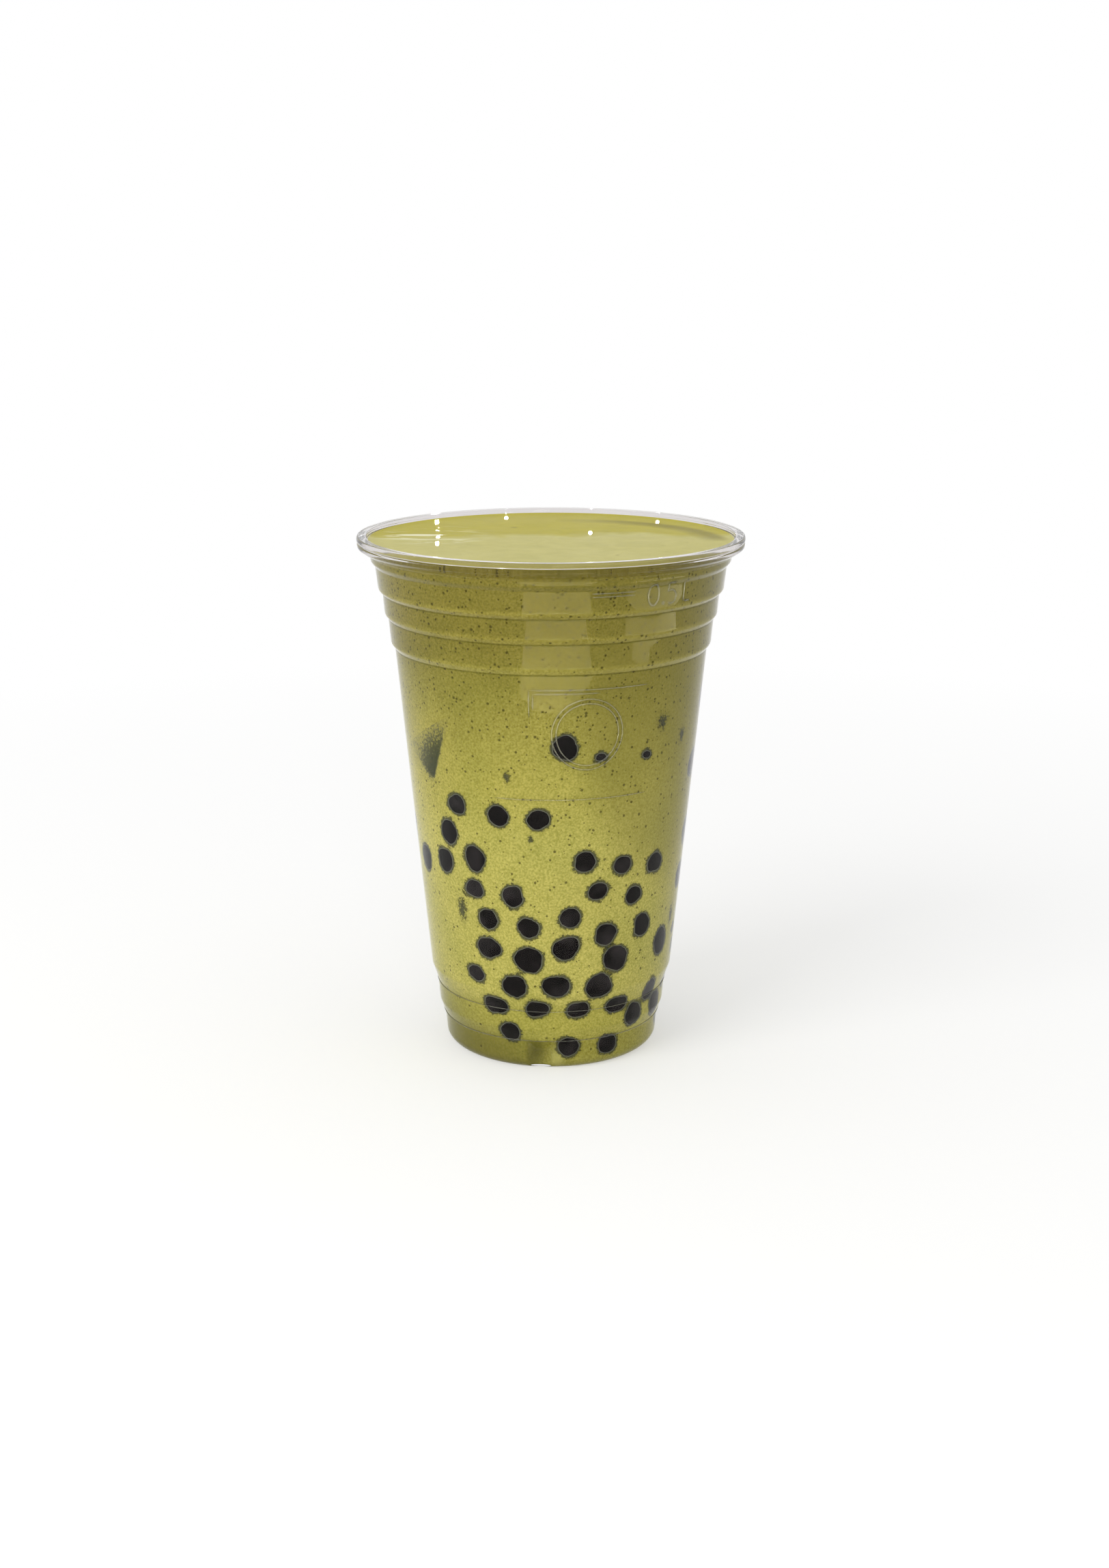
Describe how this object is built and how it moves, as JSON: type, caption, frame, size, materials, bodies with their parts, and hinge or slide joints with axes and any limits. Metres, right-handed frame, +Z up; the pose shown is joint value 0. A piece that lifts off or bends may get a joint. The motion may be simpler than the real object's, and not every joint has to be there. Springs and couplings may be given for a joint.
{
  "type": "bubble tea",
  "caption": "Tall clear plastic cup brim-full of green milk tea with dark tapioca pearls in its lower part, closed by a clear film sealed on the rim.",
  "frame": {"origin": "centre of the underside of the cup's foot, on the surface that it stands on", "axes": "+Z up along the cup's axis, -Y towards the side with the moulded panel, +X to its right"},
  "size_m": [0.0988, 0.0988, 0.135],
  "materials": {
    "clear_plastic": "clear, thin, moulded",
    "milk_tea": "opaque green tea with milk",
    "clear_film": "clear, slightly wrinkled"
  },
  "bodies": {
    "root": {"cup": "clear_plastic", "drink": "milk_tea", "sealing_film": "clear_film"}
  },
  "joints": []
}
